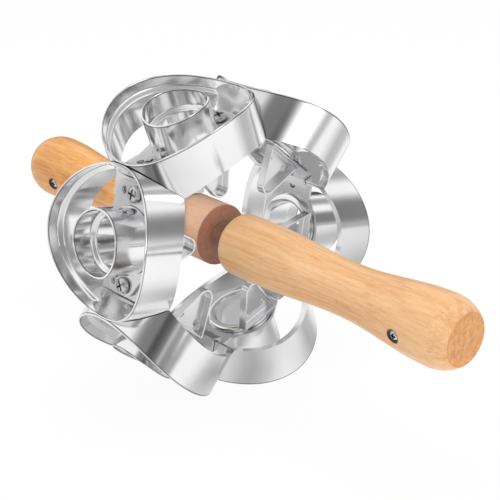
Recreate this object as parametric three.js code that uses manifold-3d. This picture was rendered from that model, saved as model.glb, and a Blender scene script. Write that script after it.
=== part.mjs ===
// Doughnut cutter roller: a drum of ring cutters with hole cutters, rolling between two handles.
// Millimetres, +Z up. The axle lies along X, and the origin is on the axle, halfway between the
// handle ends.
import * as THREE from "three";
import { mergeVertices } from "three/addons/utils/BufferGeometryUtils.js";
import Module from "manifold-3d";

const wasm = await Module();
wasm.setup();

// Ring cutters
const cutterCount = 6;
const ringDiameter = 80;
const ringWall = 1;
const rimLand = 0.25; // from the widest point of a ring to the seam plane, at the rim
const bandDepth = 22.9; // from the cutting rim in to the hub edge of a ring
const ringFootWall = 3.5; // wall of a ring's foot, from its shoulder in to the hub edge
const ringFootDepth = 7; // from the cutting rim in to the shoulder of the foot

// Hole cutters
const holeShare = 0.4425; // diameter of a hole cutter for each millimetre of its ring's
const holeWall = 1;
const holeFootWall = 4; // wall of a hole cutter's foot
const holeFootDepth = 11.5; // from the cutting rim in to the shoulder of the foot
const holeBelowBridge = 2.6; // hub end of a hole cutter below its bridge

// Bridges that carry the hole cutters across the rings
const bridgeThickness = 1.5;
const bridgeBelowEdge = 1.3; // underside of a bridge below the hub edge of the ring
const collarWidth = 2.5;
const wingRootWidth = 36.8;
const wingRootAt = 9; // from the middle of the cutter, where the wings start to taper
const wingNearEnd = 5; // near corner of a wing's end, from the middle of the cutter
const wingFarEnd = 13.5;
const wingEndGap = 3.5; // from a wing's end to the seam plane, along the bridge
const spareHoleDiameter = 4;
const spareHoleOffset = 9;

// Bars that clip over the hub edges of two neighbours and carry their wing ends
const seamBarThickness = 1.5;
const seamBarReach = 5; // bar left beyond a screw, towards the hole cutter
const seamBarNear = 13.5; // near end of a bar, from the middle of the drum

// Screws that hold the wings on the seam bars
const screwShare = 0.56; // place of a screw between the hole cutter and the wing's end
const screwDiameter = 4;
const screwHeadDiameter = 9;
const screwHeadHeight = 2.4;
const screwTail = 0.3; // thread showing below the seam bar
const recessWidth = 1.1;

// Pressed tabs on the near side of the hole cutters
const tabFace = 13.6; // near side of the drum, from the middle of the cutter to the tab's back
const tabSheet = 1;
const tabDepth = 5;
const tabWidth = 26;
const tabReach = 23.9; // from the base under the hole cutter to the tip
const tabTipRadius = 5;
const tabHoleDiameter = 4;
const tabHoleSpacing = 13;
const tabHoleDrop = 6;

// Legs between every second seam bar and the hub
const legPlane = -17;
const legWidth = 8;
const legSheet = 1.5;
const footLength = 7;
const legScrewDiameter = 3;
const legScrewHeadDiameter = 6;
const legScrewHeadHeight = 1.6;
const legScrewBite = 8; // thread length in the wood

// Wooden hub with a bush at each end
const hubDiameter = 33.4;
const hubNearEnd = 5.5;
const hubLength = 32.5;
const hubChamfer = 0.6;
const bushDiameter = 12;
const bushLength = 10;
const bushInset = 0.5;

// Axle and the spacers that keep the hub in place
const axleDiameter = 8;
const nearSpacerLength = 12.3;
const farSpacerLength = 1.8;
const spacerDiameter = 16;
const axleStop = 20; // solid wood between the axle's end and the handle's end

// Turned handles, measured from their outer ends
const nearHandleLength = 152;
const farHandleLength = 125.5;
const gripEndDiameter = 26;
const gripBulbDiameter = 36.4;
const gripBulbAt = 13.5;
const gripShoulder = 0.85; // power of the shoulder's curve, which meets the end disc in an edge
const gripWaistDiameter = 27.2;
const gripWaistAt = 70.5;
const gripSwellDiameter = 33.2;
const gripSwellAt = 132;
const gripNose = 5; // rounding of the inner end

// Cross screws that hold the handles on the axle
const crossScrewAt = 28.5;
const crossScrewTurn = (260 * Math.PI) / 180; // from +Z towards +Y
const crossScrewDiameter = 3.5;
const crossScrewHeadDiameter = 4.6;
const crossScrewHeadHeight = 2;
const crossScrewBore = 6.6; // counterbore of a head
const crossScrewPastAxle = 3;

// Clearances
const seat = 0.3; // between pieces that are fixed to each other
const fit = 0.3; // around a piece that passes through a hole
const endPlay = 0.4; // at each end of the hub
const bushClearance = 0.1; // between the bushes and the axle
const seamGap = 0.4; // between the mitred walls of neighbouring rings

// Facets
const ringFacets = 32;
const rimFacets = 13;
const restFacet = 4; // flat of a rim on which the roller rests, counted from the middle of a cutter
const edgeFacets = 7;
const tubeFacets = 20;
const gripFacets = 20;
const gripSteps = 8;
const rodFacets = 16;
const headFacets = 8;
const tipFacets = 4;

// Sizes that follow from those above
const sector = Math.PI / cutterCount;
const ringRadius = ringDiameter / 2;
const ringInner = ringRadius - ringWall;
const rollRadius = (ringRadius + rimLand) / Math.sin(sector);
const hubEdge = rollRadius - bandDepth;
const sliceHalf = sector - Math.asin(seamGap / 2 / hubEdge);
const drumTurn = (2 * sliceHalf * restFacet) / rimFacets;
const holeRadius = (ringDiameter * holeShare) / 2;
const bridgeBottom = hubEdge - bridgeBelowEdge;
const bridgeTop = bridgeBottom + bridgeThickness;
const wingEnd = bridgeBottom * Math.tan(sector) - wingEndGap;
const screwAt = holeRadius + (wingEnd - holeRadius) * screwShare;
const seamBarTop = bridgeBottom - seat;
const seamBarBottom = seamBarTop - seamBarThickness;
const seamBarInside = seamGap / 2 + ringWall + seat;
const seamBarSide = seamBarTop * Math.tan(sector) - seamBarInside / Math.cos(sector);
const ringFootInner = (ringRadius - ringFootWall) * Math.cos(Math.PI / ringFacets);
const seamBarFar = seat - Math.sqrt(ringFootInner ** 2 - seamBarSide ** 2);
const seamBarOutside = seamBarInside + seamBarThickness;
const seamBarCrown = hubEdge - seat;
const seamBarFoot = seamBarCrown - seamBarThickness;
const holeEnd = bridgeBottom - holeBelowBridge;
const tabBase = holeEnd - seat;
const tabTip = tabBase - tabReach;
const hubRadius = hubDiameter / 2;
const hubFarEnd = hubNearEnd - hubLength;
const footBottom = hubRadius + seat;
const footTop = footBottom + legSheet;
const legBack = legPlane - legSheet;
const footScrewAt = legBack - footLength / 2;
const axleRadius = axleDiameter / 2;
const nearInner = hubNearEnd + endPlay + nearSpacerLength + seat;
const farInner = hubFarEnd - endPlay - farSpacerLength - seat;
const nearOuter = nearInner + nearHandleLength;
const farOuter = farInner - farHandleLength;
const middle = (nearOuter + farOuter) / 2;

const steel = (roughness) =>
  new THREE.MeshStandardMaterial({ color: 0xd9dadc, roughness, metalness: 1 });
const wood = (color) => new THREE.MeshStandardMaterial({ color, roughness: 0.45, metalness: 0 });

// A closed geometry as a solid that can be joined and cut.
function solid(geometry) {
  const bare = geometry.clone();
  bare.deleteAttribute("normal");
  bare.deleteAttribute("uv");
  const merged = mergeVertices(bare, 1e-4);
  return new wasm.Manifold(
    new wasm.Mesh({
      numProp: 3,
      vertProperties: new Float32Array(merged.attributes.position.array),
      triVerts: new Uint32Array(merged.index.array),
    }),
  );
}

// A solid as a geometry again.
function surface(body) {
  const mesh = body.getMesh();
  const geometry = new THREE.BufferGeometry();
  const positions = new Float32Array(mesh.vertProperties);
  geometry.setAttribute("position", new THREE.BufferAttribute(positions, 3));
  geometry.setIndex(new THREE.BufferAttribute(new Uint32Array(mesh.triVerts), 1));
  geometry.computeVertexNormals();
  return geometry;
}

// Turned about Z from a profile of [radius, height], counter-clockwise with the radius to the right.
function turnedZ(profile, facets) {
  const points = profile.map(([radius, height]) => new THREE.Vector2(radius, height));
  return new THREE.LatheGeometry(points, facets, Math.PI / facets).rotateX(Math.PI / 2);
}

// Turned about X from a profile of [radius, position along X].
function turnedX(profile, facets) {
  const points = profile.map(([radius, along]) => new THREE.Vector2(radius, along));
  return new THREE.LatheGeometry(points, facets).rotateZ(-Math.PI / 2);
}

function sleeveProfile(inner, outer, low, high) {
  return [
    [inner, low],
    [outer, low],
    [outer, high],
    [inner, high],
    [inner, low],
  ];
}

function rodProfile(radius, low, high) {
  return [
    [0, low],
    [radius, low],
    [radius, high],
    [0, high],
  ];
}

function rod(radius, low, high, facets) {
  return solid(turnedZ(rodProfile(radius, low, high), facets));
}

// A rod along Z at one place, to drill a hole.
function drill(radius, x, y, low, high) {
  return solid(turnedZ(rodProfile(radius, low, high), headFacets).translate(x, y, 0));
}

function drillX(radius, y, z, low, high) {
  return solid(turnedX(rodProfile(radius, low, high), headFacets).translate(0, y, z));
}

// A plate lying square to Z, from its plan in X and Y.
function plateZ(plan, low, high) {
  const options = { depth: high - low, bevelEnabled: false, curveSegments: tipFacets };
  return solid(new THREE.ExtrudeGeometry(plan, options).translate(0, 0, low));
}

// A plate lying square to X, from its plan in Y and Z.
function plateX(plan, low, high) {
  const options = { depth: high - low, bevelEnabled: false, curveSegments: tipFacets };
  const alongX = new THREE.Matrix4().makeBasis(
    new THREE.Vector3(0, 1, 0),
    new THREE.Vector3(0, 0, 1),
    new THREE.Vector3(1, 0, 0),
  );
  const geometry = new THREE.ExtrudeGeometry(plan, options).applyMatrix4(alongX);
  return solid(geometry.translate(low, 0, 0));
}

function polygon(corners) {
  return new THREE.Shape(corners.map(([across, up]) => new THREE.Vector2(across, up)));
}

// The slice of the drum that belongs to one cutter, between two cylinders about the axle.
function drumSlice(inner, innerFacets, outer, outerFacets) {
  const corners = [];
  const addArc = (radius, facets, from, to) => {
    for (let step = 0; step <= facets; step++) {
      const angle = from + ((to - from) * step) / facets;
      corners.push([radius * Math.sin(angle), radius * Math.cos(angle)]);
    }
  };
  addArc(outer, outerFacets, sliceHalf, -sliceHalf);
  addArc(inner, innerFacets, -sliceHalf, sliceHalf);
  return plateX(polygon(corners), -ringDiameter, ringDiameter);
}

// The wedge inside one cutter's walls, clear of both seam planes.
function insideSeams() {
  const tip = (seamGap / 2 + ringWall) / Math.sin(sector);
  const top = rollRadius + ringWall;
  const half = (top - tip) * Math.tan(sector);
  const wedge = polygon([
    [0, tip],
    [half, top],
    [-half, top],
  ]);
  return plateX(wedge, -ringDiameter, ringDiameter);
}

// Ring cutter: a straight band, flat along the seams, with its rim on the rolling surface and a thicker
// foot along the round stretches.
function ringCutter() {
  const outside = rod(ringRadius, 0, rollRadius + rimLand, ringFacets);
  const band = drumSlice(hubEdge, edgeFacets, rollRadius, rimFacets);
  const aboveFoot = drumSlice(rollRadius - ringFootDepth, rimFacets, rollRadius + ringWall, rimFacets);
  const recess = rod(ringInner, 0, rollRadius + ringWall, ringFacets).intersect(aboveFoot);
  const bore = rod(ringRadius - ringFootWall, 0, rollRadius + ringFootWall, ringFacets);
  return outside.intersect(band).subtract(bore.add(recess).intersect(insideSeams()));
}

// Hole cutter: a straight tube with its rim on the rolling surface and a thicker foot.
function holeCutter() {
  const outside = rod(holeRadius, holeEnd, rollRadius + rimLand, tubeFacets);
  const band = drumSlice(hubRadius, 1, rollRadius, rimFacets);
  const shoulder = rollRadius - holeFootDepth;
  const recess = rod(holeRadius - holeWall, shoulder, rollRadius + holeWall, tubeFacets);
  const bore = rod(holeRadius - holeFootWall, hubRadius, rollRadius + holeFootWall, tubeFacets);
  return outside.intersect(band).subtract(bore.add(recess));
}

// Bridge: a collar round the hole cutter and two tapering wings, drilled for the screws.
function bridge() {
  const low = bridgeBottom - seat;
  const high = bridgeTop + seat;
  const wings = polygon([
    [wingRootWidth / 2, -wingRootAt],
    [wingRootWidth / 2, wingRootAt],
    [wingNearEnd, wingEnd],
    [-wingFarEnd, wingEnd],
    [-wingRootWidth / 2, wingRootAt],
    [-wingRootWidth / 2, -wingRootAt],
    [-wingFarEnd, -wingEnd],
    [wingNearEnd, -wingEnd],
  ]);
  const opening = holeRadius + fit;
  let body = plateZ(wings, bridgeBottom, bridgeTop)
    .add(rod(opening + collarWidth, bridgeBottom, bridgeTop, tubeFacets))
    .subtract(rod(opening, low, high, tubeFacets));
  for (const y of [-screwAt, screwAt]) {
    body = body
      .subtract(drill(screwDiameter / 2 + fit, 0, y, low, high))
      .subtract(drill(spareHoleDiameter / 2, -spareHoleOffset, y, low, high));
  }
  return body;
}

// Bar bent over the hub edges at a seam, with a pad under each wing, in a frame whose Z runs out along
// the seam plane.
function seamBar() {
  const inEnd = screwAt - seamBarReach;
  const across = (height) => height * Math.sin(sector) - inEnd * Math.cos(sector);
  const up = (height) => inEnd * Math.sin(sector) + height * Math.cos(sector);
  const bend = (height, side) => (height - side * Math.sin(sector)) / Math.cos(sector);
  const half = [
    [seamBarOutside, seamBarFoot],
    [seamBarOutside, bend(seamBarBottom, seamBarOutside)],
    [across(seamBarBottom), up(seamBarBottom)],
    [across(seamBarTop), up(seamBarTop)],
    [seamBarInside, bend(seamBarTop, seamBarInside)],
    [seamBarInside, seamBarCrown],
  ];
  const mirrored = half.map(([side, height]) => [-side, height]).reverse();
  let body = plateX(polygon([...half, ...mirrored]), seamBarFar, seamBarNear);
  for (const side of [-1, 1]) {
    const hole = turnedZ(rodProfile(screwDiameter / 2 + fit, holeEnd, bridgeTop), headFacets);
    hole.translate(0, side * screwAt, 0).rotateX(side * sector);
    body = body.subtract(solid(hole));
  }
  return body;
}

// Outline of a tab, drawn in from its edge by a given inset.
function tabOutline(inset) {
  const corner = new THREE.Vector2(tabWidth / 2, tabBase);
  const centre = new THREE.Vector2(0, tabTip + tabTipRadius);
  const reach = corner.clone().sub(centre);
  const touch = reach.angle() - Math.acos(tabTipRadius / reach.length());
  const normal = new THREE.Vector2(Math.cos(touch), Math.sin(touch));
  const radius = tabTipRadius - inset;
  const end = centre.clone().addScaledVector(normal, radius);
  const rise = tabBase - inset - end.y;
  const half = end.x + rise * Math.tan(-touch);
  const outline = new THREE.Shape();
  outline.moveTo(half, tabBase - inset);
  outline.lineTo(-half, tabBase - inset);
  outline.lineTo(-end.x, end.y);
  outline.absarc(centre.x, centre.y, radius, Math.PI - touch, 2 * Math.PI + touch);
  outline.closePath();
  return outline;
}

// Tab: a tray pressed from sheet, open towards the near handle, with two holes.
function tab() {
  const low = tabFace - seat;
  const high = tabFace + tabDepth + seat;
  let body = plateX(tabOutline(0), tabFace, tabFace + tabDepth);
  body = body.subtract(plateX(tabOutline(tabSheet), tabFace + tabSheet, high));
  for (const y of [-tabHoleSpacing / 2, tabHoleSpacing / 2]) {
    body = body.subtract(drillX(tabHoleDiameter / 2, y, tabBase - tabHoleDrop, low, high));
  }
  return body;
}

// Leg: a strip from the seam bar in to the hub, with a foot along the hub, in the frame of the seam bar.
function leg() {
  const half = legWidth / 2;
  const top = seamBarFoot - seat;
  const strip = polygon([
    [-half, footBottom],
    [half, footBottom],
    [half, top],
    [-half, top],
  ]);
  const foot = polygon([
    [legBack - footLength, -half],
    [legPlane, -half],
    [legPlane, half],
    [legBack - footLength, half],
  ]);
  return plateX(strip, legBack, legPlane)
    .add(plateZ(foot, footBottom, footTop))
    .subtract(drill(legScrewDiameter / 2 + fit, footScrewAt, 0, hubRadius, footTop + seat));
}

// Pan-head screw standing on a face at a given height, with a cross recess.
function panScrew(headDiameter, headHeight, shankDiameter, face, tip) {
  const head = headDiameter / 2;
  const under = face + seat;
  const top = under + headHeight;
  const body = solid(
    turnedZ(
      [
        [0, tip],
        [shankDiameter / 2, tip],
        [shankDiameter / 2, under],
        [head, under],
        [head, under + headHeight * 0.4],
        [head * 0.75, under + headHeight * 0.85],
        [head * 0.4, top],
        [0, top],
      ],
      headFacets,
    ),
  );
  const slot = new THREE.BoxGeometry(head * 1.1, recessWidth, headHeight).translate(0, 0, top);
  const cross = solid(slot).add(solid(slot.clone().rotateZ(Math.PI / 2)));
  return body.subtract(cross);
}

// Hub, bored for the axle, with seats for the bushes and pilot holes for the leg screws.
function hub() {
  const bore = axleRadius + 2 * fit;
  const bushSeat = bushDiameter / 2 + fit;
  const depth = bushLength + bushInset + seat;
  const profile = [
    [bore, hubFarEnd + depth],
    [bushSeat, hubFarEnd + depth],
    [bushSeat, hubFarEnd],
    [hubRadius - hubChamfer, hubFarEnd],
    [hubRadius, hubFarEnd + hubChamfer],
    [hubRadius, hubNearEnd - hubChamfer],
    [hubRadius - hubChamfer, hubNearEnd],
    [bushSeat, hubNearEnd],
    [bushSeat, hubNearEnd - depth],
    [bore, hubNearEnd - depth],
    [bore, hubFarEnd + depth],
  ];
  let body = solid(turnedX(profile, tubeFacets));
  const low = hubRadius - legScrewBite - fit;
  for (let index = 0; index < cutterCount; index += 2) {
    const hole = turnedZ(rodProfile(legScrewDiameter / 2 + fit, low, hubDiameter), headFacets);
    hole.translate(footScrewAt, 0, 0).rotateX(-sector * (2 * index + 1));
    body = body.subtract(solid(hole));
  }
  return body;
}

function axleSleeve(diameter, clearance, low, length) {
  return turnedX(sleeveProfile(axleRadius + clearance, diameter / 2, low, low + length), rodFacets);
}

// Radius of a handle at a distance from its outer end.
function gripRadius(fromEnd) {
  const bulb = gripBulbDiameter / 2;
  const waist = gripWaistDiameter / 2;
  const swell = gripSwellDiameter / 2;
  const end = gripEndDiameter / 2;
  const ease = (from, to, share) => from + ((to - from) * (1 - Math.cos(Math.PI * share))) / 2;
  if (fromEnd < gripBulbAt) {
    const share = 1 - fromEnd / gripBulbAt;
    return end + (bulb - end) * (1 - share * share) ** gripShoulder;
  }
  if (fromEnd < gripWaistAt) {
    return ease(bulb, waist, (fromEnd - gripBulbAt) / (gripWaistAt - gripBulbAt));
  }
  const share = (fromEnd - gripWaistAt) / (gripSwellAt - gripWaistAt);
  return ease(waist, swell, Math.min(share, 1));
}

// Outline of a handle from its outer end to its inner face, as [radius, distance from the outer end].
function gripOutline(length) {
  const outline = [[0, 0]];
  const noseAt = length - gripNose;
  const noseInner = gripRadius(noseAt) - gripNose;
  for (let step = 0; step < 4; step++) {
    const fromEnd = gripBulbAt * (1 - Math.cos((Math.PI * step) / 8));
    outline.push([gripRadius(fromEnd), fromEnd]);
  }
  for (let step = 0; step < gripSteps; step++) {
    const fromEnd = gripBulbAt + ((noseAt - gripBulbAt) * step) / gripSteps;
    outline.push([gripRadius(fromEnd), fromEnd]);
  }
  for (let step = 0; step <= 3; step++) {
    const turn = (Math.PI * step) / 6;
    outline.push([noseInner + gripNose * Math.cos(turn), noseAt + gripNose * Math.sin(turn)]);
  }
  return outline;
}

// A piece that stands square to the axle at one place, turned to the side of the cross screws.
function crossPiece(geometry, at) {
  return geometry.rotateX(-crossScrewTurn).translate(at, 0, 0);
}

// Handle with its axle bore and the hole of its cross screw; side is 1 at the near end and -1 at the
// far end.
function handle(side, outer, length) {
  const bore = axleRadius + fit;
  const boreEnd = axleStop - fit;
  const outline = gripOutline(length);
  outline.push([bore, length], [bore, boreEnd], [0, boreEnd]);
  const profile = outline.map(([radius, fromEnd]) => [radius, outer - side * fromEnd]);
  if (side > 0) profile.reverse();
  const at = outer - side * crossScrewAt;
  const face = gripRadius(crossScrewAt);
  const low = -axleRadius - crossScrewPastAxle - fit;
  const headLow = face - crossScrewHeadHeight - 2 * seat;
  const shank = rodProfile(crossScrewDiameter / 2 + fit, low, face);
  const head = rodProfile(crossScrewBore / 2, headLow, 2 * face);
  let body = solid(turnedX(profile, gripFacets));
  for (const hole of [shank, head]) {
    body = body.subtract(solid(crossPiece(turnedZ(hole, headFacets), at)));
  }
  return body;
}

// Axle with a cross hole for each handle's screw.
function axle() {
  const low = farOuter + axleStop;
  const high = nearOuter - axleStop;
  let body = solid(turnedX(rodProfile(axleRadius, low, high), rodFacets));
  for (const at of [nearOuter - crossScrewAt, farOuter + crossScrewAt]) {
    const hole = rodProfile(crossScrewDiameter / 2 + fit, -axleDiameter, axleDiameter);
    body = body.subtract(solid(crossPiece(turnedZ(hole, headFacets), at)));
  }
  return body;
}

function crossScrew(at) {
  const face = gripRadius(crossScrewAt) - crossScrewHeadHeight - 2 * seat;
  const tip = -axleRadius - crossScrewPastAxle;
  const body = panScrew(crossScrewHeadDiameter, crossScrewHeadHeight, crossScrewDiameter, face, tip);
  return crossPiece(surface(body), at);
}

function addMesh(parent, name, geometry, material) {
  const mesh = new THREE.Mesh(geometry, material);
  mesh.name = name;
  parent.add(mesh);
  return mesh;
}

// A group turned about the axle so that its own Z points out at an angle from +Z towards +Y.
function spoke(parent, angle) {
  const group = new THREE.Group();
  group.rotation.x = -angle;
  parent.add(group);
  return group;
}

function addDrum(parent) {
  const drum = spoke(parent, -drumTurn);
  const ringShape = surface(ringCutter());
  const holeShape = surface(holeCutter());
  const bridgeShape = surface(bridge());
  const tabShape = surface(tab());
  const barShape = surface(seamBar());
  const legShape = surface(leg());
  const screwTip = seamBarBottom - screwTail;
  const screwShape = surface(
    panScrew(screwHeadDiameter, screwHeadHeight, screwDiameter, bridgeTop, screwTip),
  );
  const legScrewTip = hubRadius - legScrewBite;
  const legScrewShape = surface(
    panScrew(legScrewHeadDiameter, legScrewHeadHeight, legScrewDiameter, footTop, legScrewTip),
  );
  for (let index = 0; index < cutterCount; index++) {
    const number = index + 1;
    const cutter = spoke(drum, 2 * sector * index);
    addMesh(cutter, `ring_cutter_${number}`, ringShape, steel(0.12));
    addMesh(cutter, `hole_cutter_${number}`, holeShape, steel(0.12));
    addMesh(cutter, `bridge_${number}`, bridgeShape, steel(0.18));
    addMesh(cutter, `tab_${number}`, tabShape, steel(0.18));
    addMesh(cutter, `bridge_screw_${number}a`, screwShape, steel(0.25)).position.y = -screwAt;
    addMesh(cutter, `bridge_screw_${number}b`, screwShape, steel(0.25)).position.y = screwAt;
    const seam = spoke(drum, sector * (2 * index + 1));
    addMesh(seam, `seam_bar_${number}`, barShape, steel(0.18));
    if (index % 2 === 0) {
      addMesh(seam, `leg_${number}`, legShape, steel(0.25));
      addMesh(seam, `leg_screw_${number}`, legScrewShape, steel(0.3)).position.x = footScrewAt;
    }
  }
  addMesh(drum, "hub", surface(hub()), wood(0xc79873));
  const bushShape = (low) => axleSleeve(bushDiameter, bushClearance, low, bushLength);
  addMesh(drum, "hub_bush_near", bushShape(hubNearEnd - bushInset - bushLength), steel(0.35));
  addMesh(drum, "hub_bush_far", bushShape(hubFarEnd + bushInset), steel(0.35));
}

function addHandles(parent) {
  addMesh(parent, "axle", surface(axle()), steel(0.3));
  const spacerShape = (low, length) => axleSleeve(spacerDiameter, fit, low, length);
  const farSpacerLow = hubFarEnd - endPlay - farSpacerLength;
  addMesh(parent, "spacer_near", spacerShape(hubNearEnd + endPlay, nearSpacerLength), wood(0x8a5a40));
  addMesh(parent, "spacer_far", spacerShape(farSpacerLow, farSpacerLength), wood(0x8a5a40));
  addMesh(parent, "handle_near", surface(handle(1, nearOuter, nearHandleLength)), wood(0xe9bd85));
  addMesh(parent, "handle_far", surface(handle(-1, farOuter, farHandleLength)), wood(0xe3aa68));
  addMesh(parent, "cross_screw_near", crossScrew(nearOuter - crossScrewAt), steel(0.4));
  addMesh(parent, "cross_screw_far", crossScrew(farOuter + crossScrewAt), steel(0.4));
}

const roller = new THREE.Group();
const assembly = new THREE.Group();
assembly.position.x = -middle;
roller.add(assembly);
addDrum(assembly);
addHandles(assembly);

export default roller;
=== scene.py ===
"""Looks of the doughnut cutter roller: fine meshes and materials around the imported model, in metres."""
import math

import bmesh
import bpy
from mathutils import Matrix, Vector


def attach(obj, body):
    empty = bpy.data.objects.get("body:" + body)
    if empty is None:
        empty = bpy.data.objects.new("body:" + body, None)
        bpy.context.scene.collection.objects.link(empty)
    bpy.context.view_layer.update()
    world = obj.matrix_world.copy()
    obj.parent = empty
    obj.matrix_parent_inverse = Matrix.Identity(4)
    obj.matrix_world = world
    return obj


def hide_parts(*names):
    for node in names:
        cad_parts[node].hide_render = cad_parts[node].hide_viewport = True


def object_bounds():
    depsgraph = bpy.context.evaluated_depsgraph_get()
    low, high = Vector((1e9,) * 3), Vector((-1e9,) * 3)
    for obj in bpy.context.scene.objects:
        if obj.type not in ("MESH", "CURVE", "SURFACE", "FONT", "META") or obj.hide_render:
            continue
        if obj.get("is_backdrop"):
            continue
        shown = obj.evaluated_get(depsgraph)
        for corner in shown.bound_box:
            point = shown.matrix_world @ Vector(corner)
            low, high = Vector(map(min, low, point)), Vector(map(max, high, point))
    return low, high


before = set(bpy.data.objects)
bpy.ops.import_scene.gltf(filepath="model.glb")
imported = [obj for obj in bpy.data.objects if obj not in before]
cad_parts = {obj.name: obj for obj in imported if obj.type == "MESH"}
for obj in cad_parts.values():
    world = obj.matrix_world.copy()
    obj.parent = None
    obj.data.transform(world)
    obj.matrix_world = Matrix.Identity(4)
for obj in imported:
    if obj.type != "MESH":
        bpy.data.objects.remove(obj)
cad_low, cad_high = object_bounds()
MM = 0.001

# Sizes of the part, in millimetres
CUTTERS = 6
RING_R = 40.0
RING_WALL = 1.0
RIM_LAND = 0.25
BAND_DEPTH = 22.9
FOOT_WALL = 3.5
FOOT_DEPTH = 7.0
HOLE_R = 17.7
HOLE_WALL = 1.0
HOLE_FOOT_WALL = 4.0
HOLE_FOOT_DEPTH = 11.5
HOLE_BELOW_BRIDGE = 2.6
BRIDGE_THICK = 1.5
BRIDGE_BELOW_EDGE = 1.3
COLLAR_WIDTH = 2.5
WING_ROOT_WIDTH = 36.8
WING_ROOT_AT = 9.0
WING_NEAR_END = 5.0
WING_FAR_END = 13.5
WING_END_GAP = 3.5
SPARE_HOLE_R = 2.0
SPARE_HOLE_OFFSET = 9.0
SCREW_SHARE = 0.56
SCREW_R = 2.0
SCREW_HEAD_R = 4.5
SCREW_HEAD_HEIGHT = 2.4
SCREW_TAIL = 0.3
RECESS_WIDTH = 1.1
SEAM_BAR_THICK = 1.5
TAB_FACE = 13.6
TAB_SHEET = 1.0
TAB_DEPTH = 5.0
TAB_WIDTH = 26.0
TAB_REACH = 23.9
TAB_TIP_R = 5.0
TAB_HOLE_R = 2.0
TAB_HOLE_SPACING = 13.0
TAB_HOLE_DROP = 6.0
HUB_R = 16.7
HUB_NEAR = 5.5
HUB_LENGTH = 32.5
BUSH_R = 6.0
BUSH_DEPTH = 10.8
AXLE_R = 4.0
SPACER_R = 8.0
NEAR_SPACER = 12.3
FAR_SPACER = 1.8
AXLE_STOP = 20.0
NEAR_HANDLE = 152.0
FAR_HANDLE = 125.5
GRIP_END_R = 13.0
GRIP_BULB_R = 18.2
GRIP_BULB_AT = 13.5
GRIP_SHOULDER = 0.85
GRIP_WAIST_R = 13.6
GRIP_WAIST_AT = 70.5
GRIP_SWELL_R = 16.6
GRIP_SWELL_AT = 132.0
GRIP_NOSE = 5.0
CROSS_AT = 28.5
CROSS_TURN = math.radians(260)
CROSS_R = 1.75
CROSS_HEAD_R = 2.3
CROSS_HEAD_HEIGHT = 2.0
CROSS_BORE_R = 3.3
CROSS_PAST_AXLE = 3.0
GAP = 0.3
END_PLAY = 0.4
SEAM_GAP = 0.4
REST_FACET = 4
RIM_FACETS = 13

# Fine edges and roundings, in millimetres
RIM_ROUND = 0.35
RIM_CHAMFER = 0.1
RIM_SUPPORT = 0.7
SHOULDER_ROUND = 1.5
SHOULDER_SUPPORT = 0.4
ROW_GAP = 0.1
BEND_CLEAR = 0.05
HOLE_SHOULDER_ROUND = 1.0
HOLE_END_ROUND = 0.8
HOLE_END_CHAMFER = 0.25
HOLE_FOOT_CHAMFER = 0.3
WING_CORNER_R = 2.5
BRIDGE_EDGE = 0.2
TAB_CORNER_R = 1.6
TAB_INNER_CORNER_R = 1.0
TAB_BEND = 0.4
TAB_INNER_BEND = 0.5
TAB_RIM_ROUND = 0.15
HUB_EDGE_ROUND = 0.6
HUB_EDGE_CORNER = 0.18
SPACER_EDGE = 0.3

# Tolerances of the meshes
WELD = 1e-4
ON_AXIS = 1e-6
PARALLEL = 1e-9

# Shape of a screw, in shares of its own radius and height
POINT_R = 0.6
POINT_LENGTH = 0.5
HEAD_UNDERSIDE_R = 0.94
HEAD_EDGE = 0.08
HEAD_FLAT = 0.35
RECESS_REACH = 0.62
RECESS_DEPTH = 0.55
# Turn of the recess of each bridge screw in radians: on the first cutter, and the step to the next one
RECESS_TURNS = {"a": (0.3, 1.0), "b": (1.1, 0.7)}

SECTOR = math.pi / CUTTERS
ROLL_R = (RING_R + RIM_LAND) / math.sin(SECTOR)
HUB_EDGE = ROLL_R - BAND_DEPTH
SLICE_HALF = SECTOR - math.asin(SEAM_GAP / 2 / HUB_EDGE)
DRUM_TURN = 2 * SLICE_HALF * REST_FACET / RIM_FACETS
BRIDGE_LOW = HUB_EDGE - BRIDGE_BELOW_EDGE
BRIDGE_TOP = BRIDGE_LOW + BRIDGE_THICK
WING_END = BRIDGE_LOW * math.tan(SECTOR) - WING_END_GAP
SCREW_AT = HOLE_R + (WING_END - HOLE_R) * SCREW_SHARE
SCREW_TIP = BRIDGE_LOW - GAP - SEAM_BAR_THICK - SCREW_TAIL
HOLE_END = BRIDGE_LOW - HOLE_BELOW_BRIDGE
TAB_BASE = HOLE_END - GAP
TAB_TIP = TAB_BASE - TAB_REACH
HUB_FAR = HUB_NEAR - HUB_LENGTH
NEAR_INNER = HUB_NEAR + END_PLAY + NEAR_SPACER + GAP
FAR_INNER = HUB_FAR - END_PLAY - FAR_SPACER - GAP
NEAR_OUTER = NEAR_INNER + NEAR_HANDLE
FAR_OUTER = FAR_INNER - FAR_HANDLE
MIDDLE = (NEAR_OUTER + FAR_OUTER) / 2

# Camera, fitted to the photograph in the frame of the drum: axle along X, first cutter along Z
EYE = Vector((481.44, -310.01, 383.29))
FORWARD = Vector((-0.67635, 0.46166, -0.57395))
RIGHT = Vector((0.67627, 0.698, -0.23548))
LENS = 92.67
SENSOR = 36.0
CLIP_START = 0.01

# Studio, in metres and watts
FLOOR_REACH = 6.0
FLOOR_GREY = 0.95
FLOOR_SHOWN = 0.95
AMBIENT = 0.59
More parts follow.
